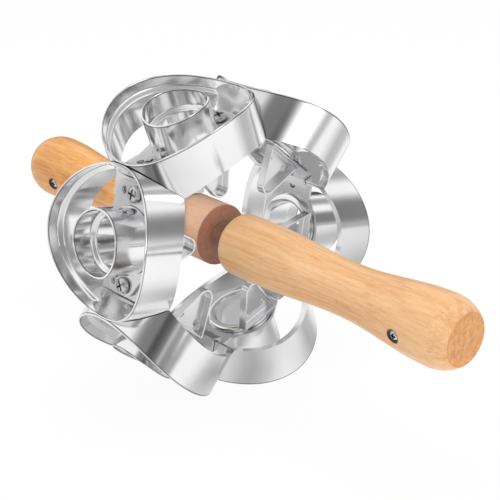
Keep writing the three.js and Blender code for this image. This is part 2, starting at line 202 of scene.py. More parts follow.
# Name, place, width and height, power and whether polished metal mirrors it
AREA_LIGHTS = [
    ("key", (-0.1, 0.05, 1.2), (1.2, 0.9), 10, False),
    ("fill", (1.1, 0.1, 0.3), (0.5, 0.4), 1.2, True),
    ("front", (0.85, -0.75, 0.06), (0.8, 0.25), 1.7, False),
]
HUB_SPOT_AT = (0.85, -0.75, 0.52)
HUB_SPOT_AIM = (-0.036, 0, 0.042)
HUB_SPOT_POWER = 205
HUB_SPOT_CONE = math.radians(3.0)
HUB_SPOT_R = 0.05

# Grey of the floor as polished metal mirrors it, by bearing as a share of a turn from -X
FLOOR_BY_BEARING = [
    (0.0, 0.85), (0.12, 0.8), (0.17, 1.0), (0.24, 0.75), (0.32, 0.75), (0.36, 0.85), (0.42, 0.92),
    (0.5, 1.0), (0.617, 1.0), (0.64, 0.8), (0.672, 0.5), (0.71, 0.55), (0.75, 0.95), (0.79, 1.0),
    (0.825, 0.45), (0.86, 0.15), (0.93, 0.15), (0.985, 0.8),
]
# Painted shade of the floor under the drum, as polished metal mirrors it, by bearing as a share of a turn
# from -X
FLOOR_SHADE_UNDER_DRUM = [
    (0.0, 0.5), (0.25, 0.5), (0.36, 0.7), (0.41, 0.57), (0.442, 0.46), (0.472, 0.42), (0.5, 0.5),
    (0.525, 0.62), (0.55, 0.81), (0.572, 0.92), (0.597, 0.9), (0.62, 0.76), (0.65, 0.56), (0.72, 0.5),
]
# Distance from the origin over which the painted shade under the drum fades into the rest
UNDER_DRUM_FADE = (0.09, 0.114)
# Grey by distance from the origin as a share of the span, which multiplies the grey by bearing; its dip
# close to the drum is painted shade
FLOOR_SPAN = 2.0
FLOOR_BY_DISTANCE = [(0.052, 0.8), (0.07, 1.0), (0.4, 1.0), (0.6, 0.5)]
# Grey of the tent as polished metal mirrors it, by the upward share of the direction
TENT_BY_HEIGHT = [(0.0, 0.9), (0.2, 1.0), (0.75, 0.95), (0.92, 0.5), (1.0, 0.4)]
# Dark panels: bearing, height, radius of the dark middle and of the faded edge in degrees, and depth
PANELS = [
    (-103, 14, 8, 24, 0.7),
    (-62, 6, 5, 15, 0.7),
    (-44, 0, 5, 14, 0.7),
    (-37, 42, 9, 30, 0.8),
    (-26, 24, 6, 14, 0.8),
    (-12, 10, 3, 10, 0.75),
    (-3, 2, 3, 9, 0.65),
    (55, 13, 6, 22, 0.78),
    (103, 40, 6, 20, 0.7),
    (138, 2, 13, 28, 0.92),
    (160, 42, 6, 20, 0.65),
]

TO_PART = Matrix.Translation((-MIDDLE * MM, 0, 0))
DRUM_FRAME = TO_PART @ Matrix.Rotation(DRUM_TURN, 4, "X")


def spoke(angle):
    """Frame of a cutter: its own Z points out from the axle at an angle from +Z towards +Y."""
    return DRUM_FRAME @ Matrix.Rotation(-angle, 4, "X")


# Meshes
def link(name, data):
    """New object in the scene."""
    obj = bpy.data.objects.new(name, data)
    bpy.context.scene.collection.objects.link(obj)
    return obj


def make_object(name, mesh, material, matrix, body, slot, *nodes):
    obj = link(name, mesh)
    obj.data.materials.append(material)
    obj.matrix_world = matrix
    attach(obj, body)
    if nodes:
        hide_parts(*nodes)
    return obj


def finish_mesh(name, bm, sharp_deg=35):
    """Welds, smooths and scales a mesh drawn in millimetres."""
    bmesh.ops.remove_doubles(bm, verts=bm.verts, dist=WELD)
    bmesh.ops.recalc_face_normals(bm, faces=bm.faces)
    bmesh.ops.scale(bm, verts=bm.verts, vec=(MM, MM, MM))
    for face in bm.faces:
        face.smooth = True
    for edge in bm.edges:
        if len(edge.link_faces) == 2:
            edge.smooth = edge.calc_face_angle() < math.radians(sharp_deg)
    mesh = bpy.data.meshes.new(name)
    bm.to_mesh(mesh)
    bm.free()
    return mesh


def join_rows(bm, first, second):
    """Closed strip of faces between two loops of vertices."""
    for k in range(len(first)):
        j = (k + 1) % len(first)
        bm.faces.new((first[k], first[j], second[j], second[k]))


def loop_mesh(name, loops, sharp_deg=35):
    """Closed skin through a ring of closed loops that all have the same number of points."""
    bm = bmesh.new()
    rows = [[bm.verts.new(p) for p in loop] for loop in loops]
    for i, row in enumerate(rows):
        join_rows(bm, row, rows[(i + 1) % len(rows)])
    return finish_mesh(name, bm, sharp_deg)


def lathe_mesh(name, profile, facets, axis="X", sharp_deg=35):
    """Turned solid from a profile of (radius, position) that starts and ends on the axis, or is closed."""
    bm = bmesh.new()
    rows = []
    for radius, along in profile:
        row = []
        for k in range(facets if radius > ON_AXIS else 1):
            turn = 2 * math.pi * k / facets
            across, up = radius * math.cos(turn), radius * math.sin(turn)
            point = (along, across, up) if axis == "X" else (across, up, along)
            row.append(bm.verts.new(point))
        rows.append(row)
    for first, second in zip(rows, rows[1:]):
        for k in range(facets):
            j = (k + 1) % facets
            corners = [first[k % len(first)], first[j % len(first)]]
            corners += [second[j % len(second)], second[k % len(second)]]
            unique = list(dict.fromkeys(corners))
            if len(unique) > 2:
                bm.faces.new(unique)
    return finish_mesh(name, bm, sharp_deg)


def sheet_faces(bm, outline, holes, place):
    """Flat face with holes: returns the vertex rows of the outline and of each hole."""
    rows = []
    edges = []
    for path in [outline, *holes]:
        row = [bm.verts.new(place(*p)) for p in path]
        rows.append(row)
        for k, vert in enumerate(row):
            edges.append(bm.edges.new((vert, row[(k + 1) % len(row)])))
    bmesh.ops.triangle_fill(bm, use_beauty=True, use_dissolve=False, edges=edges)
    return rows


def circle(x, y, radius, count=28):
    turns = [2 * math.pi * k / count for k in range(count)]
    return [(x + radius * math.cos(turn), y + radius * math.sin(turn)) for turn in turns]


def inset(path, depth):
    """A closed convex path drawn in by a small depth."""
    sharpest = 0.3
    count = len(path)
    points = []
    area = sum(a[0] * b[1] - b[0] * a[1] for a, b in zip(path, path[1:] + path[:1]))
    sign = 1 if area > 0 else -1
    for k in range(count):
        before, here, after = Vector(path[k - 1]), Vector(path[k]), Vector(path[(k + 1) % count])
        into = (here - before).normalized()
        out = (after - here).normalized()
        normal = Vector((-(into + out).y, (into + out).x)).normalized() * sign
        half = max(sharpest, normal.dot(Vector((-into.y, into.x)) * sign))
        points.append(tuple(here + normal * (depth / half)))
    return points


def cut(mesh_object, tool_mesh, tool_matrix):
    """Cuts a tool out of an object and keeps the result as its mesh."""
    tool = link("tool", tool_mesh)
    tool.matrix_world = tool_matrix
    modifier = mesh_object.modifiers.new("cut", "BOOLEAN")
    modifier.operation = "DIFFERENCE"
    modifier.solver = "EXACT"
    modifier.object = tool
    bpy.context.view_layer.update()
    graph = bpy.context.evaluated_depsgraph_get()
    result = bpy.data.meshes.new_from_object(mesh_object.evaluated_get(graph))
    mesh_object.modifiers.clear()
    mesh_object.data = result
    bpy.data.objects.remove(tool)


def ease(first, second, share):
    """Smooth step between two values."""
    return first + (second - first) * (1 - math.cos(math.pi * share)) / 2


def rim_points(outer, inner, top):
    """Radius and height of the points over a rounded rim: those of the outer side and of the inner side."""
    high, low = top(outer), top(inner)
    outside = [
        (outer, high - RIM_SUPPORT),
        (outer, high - RIM_ROUND),
        (outer - RIM_CHAMFER, high - RIM_CHAMFER),
        (outer - RIM_ROUND, high),
    ]
    inside = [
        (inner + RIM_ROUND, low),
        (inner + RIM_CHAMFER, low - RIM_CHAMFER),
        (inner, low - RIM_ROUND),
        (inner, low - RIM_SUPPORT),
    ]
    return outside, inside


def ring_mesh():
    """Ring cutter: straight band, flat along the seams, rim on the rolling surface, with a thicker foot."""
    facets, shoulder_steps = 288, 6
    inner, foot = RING_R - RING_WALL, RING_R - FOOT_WALL
    in_from_plane = SEAM_GAP / 2 + RING_WALL
    in_half = SECTOR - math.asin(in_from_plane / HUB_EDGE)
    in_offset = in_from_plane / math.sin(SECTOR)
    out_slope, in_slope = math.tan(SLICE_HALF), math.tan(SECTOR)
    out_edge = (HUB_EDGE * math.sin(SLICE_HALF), HUB_EDGE * math.cos(SLICE_HALF))
    in_edge = (HUB_EDGE * math.sin(in_half), HUB_EDGE * math.cos(in_half))

    def out_limit(z):
        return z * out_slope

    def in_limit(z):
        return (z - in_offset) * in_slope

    def low(y, edge):
        return math.sqrt(HUB_EDGE**2 - y * y) if abs(y) < edge[0] else edge[1]

    def section(turn):
        """Closed loop round the wall at one turn about the cutter's own axis."""
        c, s = math.cos(turn), math.sin(turn)

        def height(rho, radius):
            """Height of a cylinder about the axle above one point of the round wall."""
            return math.sqrt(rho**2 - (radius * s) ** 2)

        def top(radius):
            return height(ROLL_R, radius)

        def at(radius, z, limit):
            most = limit(z)
            return (radius * c, max(-most, min(most, radius * s)), z)

        def bend(radius, slope, offset, floor_z, top_z):
            """Height at which the wall turns from the round stretch into the flat one."""
            place = abs(radius * s) / slope + offset
            fits = floor_z + BEND_CLEAR < place < top_z - BEND_CLEAR
            return place if fits else (floor_z + top_z) / 2

        out_low, foot_low = low(RING_R * s, out_edge), low(foot * s, in_edge)
        below_rim = RIM_SUPPORT + ROW_GAP
        beside_shoulder = SHOULDER_SUPPORT + ROW_GAP
        outside, inside = rim_points(RING_R, inner, top)
        shoulder = []
        for k in range(shoulder_steps + 1):
            radius = ease(inner, foot, k / shoulder_steps)
            rho = ROLL_R - FOOT_DEPTH + SHOULDER_ROUND * (1 - 2 * k / shoulder_steps)
            shoulder.append((radius, height(rho, radius)))
        first, last = shoulder[0][1], shoulder[-1][1]
        out_bend = bend(RING_R, out_slope, 0.0, out_low, top(RING_R) - below_rim)
        in_bend = bend(inner, in_slope, in_offset, first + beside_shoulder, top(inner) - below_rim)
        foot_bend = bend(foot, in_slope, in_offset, foot_low, last - beside_shoulder)
        return [
            at(RING_R, out_low, out_limit),
            at(RING_R, out_bend, out_limit),
            *[at(radius, z, out_limit) for radius, z in outside + inside[:1]],
            *[at(radius, z, in_limit) for radius, z in inside[1:]],
            at(inner, in_bend, in_limit),
            at(inner, first + SHOULDER_SUPPORT, in_limit),
            *[at(radius, z, in_limit) for radius, z in shoulder],
            at(foot, last - SHOULDER_SUPPORT, in_limit),
            at(foot, foot_bend, in_limit),
            at(foot, foot_low, in_limit),
        ]

    turns = [2 * math.pi * k / facets for k in range(facets)]
    for radius, edge in ((RING_R, out_edge), (inner, in_edge), (foot, in_edge)):
        corner = math.asin(edge[0] / radius)
        turns += [corner, math.pi - corner, math.pi + corner, 2 * math.pi - corner]
    return loop_mesh("ring_cutter", [section(turn) for turn in sorted(turns)], sharp_deg=25)


def hole_mesh():
    """Hole cutter: tube with its rim on the rolling surface and a thicker foot."""
    facets, shoulder_steps = 160, 8
    inner, foot = HOLE_R - HOLE_WALL, HOLE_R - HOLE_FOOT_WALL
    shoulder = []
    for k in range(shoulder_steps + 1):
        share = k / shoulder_steps
        z = ROLL_R - HOLE_FOOT_DEPTH + HOLE_SHOULDER_ROUND * (1 - 2 * share)
        shoulder.append((ease(inner, foot, share), z))

    def section(turn):
        """Closed loop round the wall at one turn about the cutter's own axis."""
        c, s = math.cos(turn), math.sin(turn)

        def top(radius):
            return math.sqrt(ROLL_R**2 - (radius * s) ** 2)

        outside, inside = rim_points(HOLE_R, inner, top)
        profile = [
            (HOLE_R - HOLE_END_ROUND, HOLE_END),
            (HOLE_R - HOLE_END_CHAMFER, HOLE_END + HOLE_END_CHAMFER),
            (HOLE_R, HOLE_END + HOLE_END_ROUND),
            (HOLE_R, HOLE_END + HOLE_END_ROUND + SHOULDER_SUPPORT),
            *outside,
            *inside,
            (inner, shoulder[0][1] + SHOULDER_SUPPORT),
            *shoulder,
            (foot, shoulder[-1][1] - SHOULDER_SUPPORT),
            (foot, HOLE_END + HOLE_FOOT_CHAMFER),
            (foot + HOLE_FOOT_CHAMFER, HOLE_END),
        ]
        return [(radius * c, radius * s, z) for radius, z in profile]

    return loop_mesh("hole_cutter", [section(2 * math.pi * k / facets) for k in range(facets)])


def plate_mesh(name, outline, holes, low, high, edge):
    """Flat plate with rounded outer edges and plain holes, between two heights."""
    bm = bmesh.new()
    drawn_in = inset(outline, edge)
    bottom = sheet_faces(bm, drawn_in, holes, lambda a, b: (a, b, low))
    top = sheet_faces(bm, drawn_in, holes, lambda a, b: (a, b, high))
    low_row = [bm.verts.new((a, b, low + edge)) for a, b in outline]
    high_row = [bm.verts.new((a, b, high - edge)) for a, b in outline]
    join_rows(bm, bottom[0], low_row)
    join_rows(bm, low_row, high_row)
    join_rows(bm, high_row, top[0])
    for first, second in zip(bottom[1:], top[1:]):
        join_rows(bm, first, second)
    return finish_mesh(name, bm, sharp_deg=30)


def rounded(corners, radius, steps=6):
    """A closed path with each corner rounded."""
    points = []
    for k, corner in enumerate(corners):
        here = Vector(corner)
        before = (Vector(corners[k - 1]) - here).normalized() * radius
        after = (Vector(corners[(k + 1) % len(corners)]) - here).normalized() * radius
        for step in range(steps + 1):
            share = step / steps
            points.append(here + before * (1 - share) ** 2 + after * share**2)
    return points


def reach_along(path, turn):
    """Distance from the middle to a closed path in one direction."""
    ahead = Vector((math.cos(turn), math.sin(turn)))
    best = 0.0
    for first, second in zip(path, path[1:] + path[:1]):
        along = second - first
        cross = ahead.x * along.y - ahead.y * along.x
        if abs(cross) < PARALLEL:
            continue
        distance = (first.x * along.y - first.y * along.x) / cross
        share = (first.x * ahead.y - first.y * ahead.x) / cross
        if 0 <= share <= 1:
            best = max(best, distance)
    return best


def bridge_mesh():
    """Bridge: collar round the hole cutter and two tapering wings."""
    facets = 360
    collar = HOLE_R + GAP + COLLAR_WIDTH
    root = WING_ROOT_WIDTH / 2
    half = [
        (root, WING_ROOT_AT),
        (WING_NEAR_END, WING_END),
        (-WING_FAR_END, WING_END),
        (-root, WING_ROOT_AT),
    ]
    wings = rounded(half + [(x, -y) for x, y in reversed(half)], WING_CORNER_R)
    outline = []
    for k in range(facets):
        turn = 2 * math.pi * k / facets
        radius = max(collar, reach_along(wings, turn))
        outline.append((radius * math.cos(turn), radius * math.sin(turn)))
    holes = [circle(0, 0, HOLE_R + GAP, count=120)]
    for y in (-SCREW_AT, SCREW_AT):
        holes.append(circle(0, y, SCREW_R + GAP))
        holes.append(circle(-SPARE_HOLE_OFFSET, y, SPARE_HOLE_R))
    return plate_mesh("bridge", outline, holes, BRIDGE_LOW, BRIDGE_TOP, BRIDGE_EDGE)


def tab_outline(depth, corner_r):
    """Outline of a tab in its own plane: straight base, tapered sides and a round tip."""
    corner_steps, tip_steps = 6, 20
    corner = Vector((TAB_WIDTH / 2, TAB_BASE))
    centre = Vector((0, TAB_TIP + TAB_TIP_R))
    reach = corner - centre
    touch = math.atan2(reach.y, reach.x) - math.acos(TAB_TIP_R / reach.length)
    radius = TAB_TIP_R - depth
    end = centre + radius * Vector((math.cos(touch), math.sin(touch)))
    half = end.x + (TAB_BASE - depth - end.y) * math.tan(-touch)
    start = Vector((half, TAB_BASE - depth))
    side = (start - end).normalized()
    points = []
    for k in range(corner_steps + 1):
        share = k / corner_steps
        on_side = start - side * corner_r * (1 - share)
        on_base = start - Vector((1, 0)) * corner_r * share
        points.append(on_side * (1 - share) + on_base * share)
    right = [(p.x, p.y) for p in points]
    left = [(-p.x, p.y) for p in reversed(points)]
    tip = []
    for k in range(tip_steps + 1):
        turn = math.pi - touch + (math.pi + 2 * touch) * k / tip_steps
        tip.append((centre.x + radius * math.cos(turn), centre.y + radius * math.sin(turn)))
    return right + left + tip


def tab_mesh():
    """Tab: pressed tray with a flange all round, open towards the near handle."""
    bm = bmesh.new()
    outer, inner = tab_outline(0, TAB_CORNER_R), tab_outline(TAB_SHEET, TAB_INNER_CORNER_R)
    rim, floor_x = TAB_FACE + TAB_DEPTH, TAB_FACE + TAB_SHEET
    hole_z = TAB_BASE - TAB_HOLE_DROP
    holes = [circle(side * TAB_HOLE_SPACING / 2, hole_z, TAB_HOLE_R) for side in (-1, 1)]

    def row(path, x):
        return [bm.verts.new((x, a, b)) for a, b in path]

    back_rows = sheet_faces(bm, inset(outer, TAB_BEND), holes, lambda a, b: (TAB_FACE, a, b))
    floor_rows = sheet_faces(bm, inset(inner, TAB_INNER_BEND), holes, lambda a, b: (floor_x, a, b))
    chain = [
        back_rows[0],
        row(outer, TAB_FACE + TAB_BEND),
        row(outer, rim - TAB_RIM_ROUND),
        row(inset(outer, TAB_RIM_ROUND), rim),
        row(inset(outer, TAB_SHEET - TAB_RIM_ROUND), rim),
        row(inner, rim - TAB_RIM_ROUND),
        row(inner, floor_x + TAB_INNER_BEND),
        floor_rows[0],
    ]
    for first, second in zip(chain, chain[1:]):
        join_rows(bm, first, second)
    for first, second in zip(back_rows[1:], floor_rows[1:]):
        join_rows(bm, first, second)
    return finish_mesh("tab", bm, sharp_deg=30)


def screw_mesh(name, head_r, head_h, shank_r, under, tip):
    """Pan-head screw with a cross recess."""
    dome_steps = 8
    profile = [
        (0, tip),
        (shank_r * POINT_R, tip),
        (shank_r, tip + shank_r * POINT_LENGTH),
        (shank_r, under),
        (head_r * HEAD_UNDERSIDE_R, under),
        (head_r, under + head_h * HEAD_EDGE),
    ]
    for k in range(dome_steps + 1):
        turn = math.pi / 2 * k / dome_steps
        radius = head_r * (HEAD_FLAT + (1 - HEAD_FLAT) * math.cos(turn))
        profile.append((radius, under + head_h * (HEAD_FLAT + (1 - HEAD_FLAT) * math.sin(turn))))
    profile.append((0, under + head_h))
    head = link(name, lathe_mesh(name, profile, facets=40, axis="Z", sharp_deg=40))
    length, half_width, depth = head_r * RECESS_REACH, RECESS_WIDTH / 2, head_h * RECESS_DEPTH
    for size in ((length, half_width, depth), (half_width, length, depth)):
        bm = bmesh.new()
        bmesh.ops.create_cube(bm, size=2.0)
        bmesh.ops.scale(bm, verts=bm.verts, vec=[value * MM for value in size])
        tool = bpy.data.meshes.new("recess")
        bm.to_mesh(tool)
        bm.free()
        cut(head, tool, Matrix.Translation((0, 0, (under + head_h) * MM)))
    mesh = head.data
    bpy.data.objects.remove(head)
    return mesh


def grip_radius(from_end):
    """Radius of a handle at a distance from its outer end."""
    if from_end < GRIP_BULB_AT:
        share = 1 - from_end / GRIP_BULB_AT
        return GRIP_END_R + (GRIP_BULB_R - GRIP_END_R) * (1 - share * share) ** GRIP_SHOULDER
    if from_end < GRIP_WAIST_AT:
        return ease(GRIP_BULB_R, GRIP_WAIST_R, (from_end - GRIP_BULB_AT) / (GRIP_WAIST_AT - GRIP_BULB_AT))
    share = (from_end - GRIP_WAIST_AT) / (GRIP_SWELL_AT - GRIP_WAIST_AT)
    return ease(GRIP_WAIST_R, GRIP_SWELL_R, min(share, 1.0))


def handle_mesh(name, side, outer, length):
    """Turned handle with its axle bore."""
    shoulder_steps, side_steps, nose_steps = 14, 70, 8
    outline = [(0.0, 0.0), (GRIP_END_R / 2, 0.0), (GRIP_END_R, 0.0)]
    for k in range(2, shoulder_steps + 1):
        from_end = GRIP_BULB_AT * (1 - math.cos(math.pi / 2 * k / shoulder_steps))
        outline.append((grip_radius(from_end), from_end))
    nose_at = length - GRIP_NOSE
    for k in range(1, side_steps + 1):
        from_end = GRIP_BULB_AT + (nose_at - GRIP_BULB_AT) * k / side_steps
        outline.append((grip_radius(from_end), from_end))
    nose_inner = grip_radius(nose_at) - GRIP_NOSE
    for k in range(1, nose_steps + 1):
        turn = math.pi / 2 * k / nose_steps
        outline.append((nose_inner + GRIP_NOSE * math.cos(turn), nose_at + GRIP_NOSE * math.sin(turn)))
    bore, stop = AXLE_R + GAP, AXLE_STOP - GAP
    outline += [(bore, length), (bore, stop), (0.0, stop)]
    profile = [(radius, outer - side * from_end) for radius, from_end in outline]
    return lathe_mesh(name, profile, facets=96, sharp_deg=30)


def hub_mesh():
    """Hub with the seats of its bushes."""
    bore, seat = AXLE_R + 2 * GAP, BUSH_R + GAP
    edge, corner = HUB_EDGE_ROUND, HUB_EDGE_CORNER
    far_stop, near_stop = HUB_FAR + BUSH_DEPTH, HUB_NEAR - BUSH_DEPTH
    profile = [
        (bore, far_stop),
        (seat, far_stop),
        (seat, HUB_FAR),
        (HUB_R - edge, HUB_FAR),
        (HUB_R - corner, HUB_FAR + corner),
        (HUB_R, HUB_FAR + edge),
        (HUB_R, HUB_NEAR - edge),
        (HUB_R - corner, HUB_NEAR - corner),
        (HUB_R - edge, HUB_NEAR),
        (seat, HUB_NEAR),
        (seat, near_stop),
        (bore, near_stop),
        (bore, far_stop),
    ]
    return lathe_mesh("hub", profile, facets=96)


def spacer_mesh(low, length):
    bore, high = AXLE_R + GAP, low + length
    profile = [
        (bore, low),
        (SPACER_R - SPACER_EDGE, low),
        (SPACER_R, low + SPACER_EDGE),
        (SPACER_R, high - SPACER_EDGE),
        (SPACER_R - SPACER_EDGE, high),
        (bore, high),
        (bore, low),
    ]
    return lathe_mesh("spacer", profile, facets=64)


# Nodes
def new_material(name):
    material = bpy.data.materials.new(name)
    material.use_nodes = True
    tree = material.node_tree
    return material, tree, tree.nodes["Principled BSDF"]


def add(tree, kind, **values):
    node = tree.nodes.new(kind)
    for key, value in values.items():
        setattr(node, key, value)
    return node


def coords(tree, stretch=(1, 1, 1)):
    """Object coordinates, stretched."""
    source = add(tree, "ShaderNodeTexCoord")
    mapping = add(tree, "ShaderNodeMapping")
    mapping.inputs["Scale"].default_value = stretch
    tree.links.new(source.outputs["Object"], mapping.inputs["Vector"])
    return mapping.outputs["Vector"]


def noise(tree, vector, scale, detail, roughness=0.5):
    node = add(tree, "ShaderNodeTexNoise")
    node.inputs["Scale"].default_value = scale
    node.inputs["Detail"].default_value = detail
    node.inputs["Roughness"].default_value = roughness
    tree.links.new(vector, node.inputs["Vector"])
    return node.outputs["Fac"]


def ramp(tree, factor, stops):
    """Colour ramp through (place, colour) stops."""
    node = add(tree, "ShaderNodeValToRGB")
    elements = node.color_ramp.elements
    while len(elements) < len(stops):
        elements.new(0.5)
    for element, (place, colour) in zip(elements, stops):
        element.position = place
        element.color = (*colour, 1.0)
    tree.links.new(factor, node.inputs["Fac"])
    return node.outputs["Color"]


def grey_ramp(tree, factor, stops):
    """Ramp of greys through (place, level) stops."""
    return ramp(tree, factor, [(place, (level, level, level)) for place, level in stops])


def spread(tree, factor, to_low, to_high, from_low=0.0, from_high=1.0, kind="LINEAR"):
    """Maps one range of a factor to another."""
    node = add(tree, "ShaderNodeMapRange", interpolation_type=kind)
    node.inputs["From Min"].default_value = from_low
    node.inputs["From Max"].default_value = from_high
    node.inputs["To Min"].default_value = to_low
    node.inputs["To Max"].default_value = to_high
    tree.links.new(factor, node.inputs["Value"])
    return node.outputs["Result"]


def bump(tree, shader, height, strength, distance=0.1 * MM):
    node = add(tree, "ShaderNodeBump")
    node.inputs["Strength"].default_value = strength
    node.inputs["Distance"].default_value = distance
    tree.links.new(height, node.inputs["Height"])
    tree.links.new(node.outputs["Normal"], shader.inputs["Normal"])


def srgb(red, green, blue):
    def linear(value):
        value /= 255
        return value / 12.92 if value <= 0.04045 else ((value + 0.055) / 1.055) ** 2.4

    return (linear(red), linear(green), linear(blue))


def blend(tree, factor, first, second, kind="MIX"):
    """Mixes two colours, each given as a socket or as a plain colour."""
    node = add(tree, "ShaderNodeMix", data_type="RGBA", blend_type=kind)
    sockets = [s for s in node.inputs if s.type == "RGBA"]
    for socket, value in zip(sockets, (first, second)):
        if isinstance(value, tuple):
            socket.default_value = (*value, 1.0)
        else:
            tree.links.new(value, socket)
    factor_socket = next(s for s in node.inputs if s.name == "Factor" and s.type == "VALUE")
    if isinstance(factor, float):
        factor_socket.default_value = factor
    else:
        tree.links.new(factor, factor_socket)
    return next(s for s in node.outputs if s.type == "RGBA")


def math_node(tree, operation, *values):
    """A math node on sockets or plain numbers."""
    node = add(tree, "ShaderNodeMath", operation=operation)
    for socket, value in zip(node.inputs, values):
        if isinstance(value, (int, float)):
            socket.default_value = value
        else:
            tree.links.new(value, socket)
    return node.outputs["Value"]


def vector_node(tree, operation, vector, other=None):
    """A vector math node on a socket and, where given, a plain vector."""
    node = add(tree, "ShaderNodeVectorMath", operation=operation)
    tree.links.new(vector, node.inputs[0])
    if other is not None:
        node.inputs[1].default_value = other
    return node.outputs["Value" if operation in ("LENGTH", "DOT_PRODUCT") else "Vector"]


def split(tree, vector):
    node = add(tree, "ShaderNodeSeparateXYZ")
    tree.links.new(vector, node.inputs["Vector"])
    return node.outputs


# Materials
WHITE = (1.0, 1.0, 1.0)
# Painted shade in recesses by openness, painted dark line by depth below the rim, painted shade in the
# screw bore by distance from its axis; spans in millimetres
RECESS_SHADE_REACH = 1.5
RECESS_SHADE_STOPS = [(0.45, srgb(40, 40, 42)), (0.9, WHITE)]
RIM_SHADE_SPAN = 2.0
RIM_SHADE_STOPS = [(0.1, 1.0), (0.18, 0.15), (0.34, 0.15), (0.5, 1.0)]
BORE_SPAN = 10.0
BORE_SHADE_STOPS = [(0.34, srgb(70, 52, 42)), (0.4, WHITE)]
# Wood: stretch of the grain along the axle, fade into the cross-cut faces, pores and varnish
GRAIN_STRETCH = (0.06, 1, 1)
STREAK_STRETCH = (0.045, 1, 1)
CUT_FADE = 1.2
PORE_BUMP = 0.06
VARNISH = 0.3
VARNISH_ROUGH = 0.2


def steel_material(name, dark, light, rough, stretch, grain_bump, recess_shade=0.0, rim=0.0):
    """Steel: faint smudges in colour and gloss, and a fine grain left by polishing.

    A share of painted shade darkens recesses and corners, and rim paints a dark line a little below the
    rim, standing in for the dark reflection along the edge.
    """
    material, tree, shader = new_material(name)
    shader.inputs["Metallic"].default_value = 1.0
    smudge = noise(tree, coords(tree), scale=30, detail=3)
    grain = noise(tree, coords(tree, stretch), scale=260, detail=2)
    colour = ramp(tree, smudge, [(0.35, dark), (0.65, light)])
    # Painted shade: the object's own ambient occlusion darkens the colour in recesses and corners
    if recess_shade:
        corner = add(tree, "ShaderNodeAmbientOcclusion", samples=8, only_local=True)
        corner.inputs["Distance"].default_value = RECESS_SHADE_REACH * MM
        colour = blend(tree, recess_shade, colour, ramp(tree, corner.outputs["AO"], RECESS_SHADE_STOPS), "MULTIPLY")
    # Painted dark line a little below the rim, standing in for the dark reflection along the edge
    if rim:
        from_axle = vector_node(tree, "LENGTH", coords(tree, (0, 1, 1)))
        below = math_node(tree, "SUBTRACT", ROLL_R * MM, from_axle)
        below = math_node(tree, "MULTIPLY", below, 1 / (RIM_SHADE_SPAN * MM))
        colour = blend(tree, rim, colour, grey_ramp(tree, below, RIM_SHADE_STOPS), "MULTIPLY")
    tree.links.new(colour, shader.inputs["Base Color"])
    gloss = math_node(tree, "MULTIPLY", smudge, grain)
    tree.links.new(spread(tree, gloss, *rough), shader.inputs["Roughness"])
    bump(tree, shader, grain, grain_bump)
    return material


def cross_cut(tree, colour, middle, half, edge, dark, light):
    """Colour with end grain on the two faces across the axle."""
    along = math_node(tree, "SUBTRACT", split(tree, coords(tree))["X"], middle * MM)
    past = math_node(tree, "SUBTRACT", math_node(tree, "ABSOLUTE", along), (half - edge) * MM)
    past = math_node(tree, "MULTIPLY", past, CUT_FADE / (edge * MM))
    speckle = noise(tree, coords(tree), scale=420, detail=4, roughness=0.7)
    face = ramp(tree, speckle, [(0.35, dark), (0.65, light)])
    return blend(tree, spread(tree, past, 0.0, 1.0), colour, face)


def dark_bore(tree, colour, bore):
    """Colour with painted shade inside the hole for a cross screw."""
    way = (0, math.sin(CROSS_TURN), math.cos(CROSS_TURN))
    offset = vector_node(tree, "SUBTRACT", coords(tree), (bore * MM, 0, 0))
    from_screw = vector_node(tree, "LENGTH", vector_node(tree, "CROSS_PRODUCT", offset, way))
    share = math_node(tree, "MULTIPLY", from_screw, 1 / (BORE_SPAN * MM))
    # Painted shade: dark brown close to the screw's axis inside its hole
    bore_shade = blend(tree, 1.0, colour, ramp(tree, share, BORE_SHADE_STOPS), "MULTIPLY")
    outward = vector_node(tree, "DOT_PRODUCT", offset, way)
    return blend(tree, math_node(tree, "GREATER_THAN", outward, 0.0), colour, bore_shade)


def wood_material(name, stops, pore, rough, ends=None, bore=None):
    """Turned wood: long grain along the axle, fine streaks and pores under a thin varnish.

    Ends, where given, are the middle, half length, edge width and colours of the cross-cut faces. Bore is
    the place of a cross screw, whose hole gets painted shade inside.
    """
    material, tree, shader = new_material(name)
    bands = noise(tree, coords(tree, GRAIN_STRETCH), scale=110, detail=4, roughness=0.6)
    streaks = noise(tree, coords(tree, STREAK_STRETCH), scale=700, detail=3, roughness=0.6)
    pores = noise(tree, coords(tree, GRAIN_STRETCH), scale=2600, detail=2)
    tone = math_node(tree, "MULTIPLY", math_node(tree, "ADD", bands, streaks), 0.5)
    colour = ramp(tree, tone, stops)
    colour = blend(tree, 1.0, colour, ramp(tree, pores, [(0.28, pore), (0.42, WHITE)]), "MULTIPLY")
    if ends:
        colour = cross_cut(tree, colour, **ends)
    if bore is not None:
        colour = dark_bore(tree, colour, bore)
    tree.links.new(colour, shader.inputs["Base Color"])
    tree.links.new(spread(tree, pores, *rough), shader.inputs["Roughness"])
    shader.inputs["Coat Weight"].default_value = VARNISH
    shader.inputs["Coat Roughness"].default_value = VARNISH_ROUGH
    bump(tree, shader, pores, PORE_BUMP)
    return material


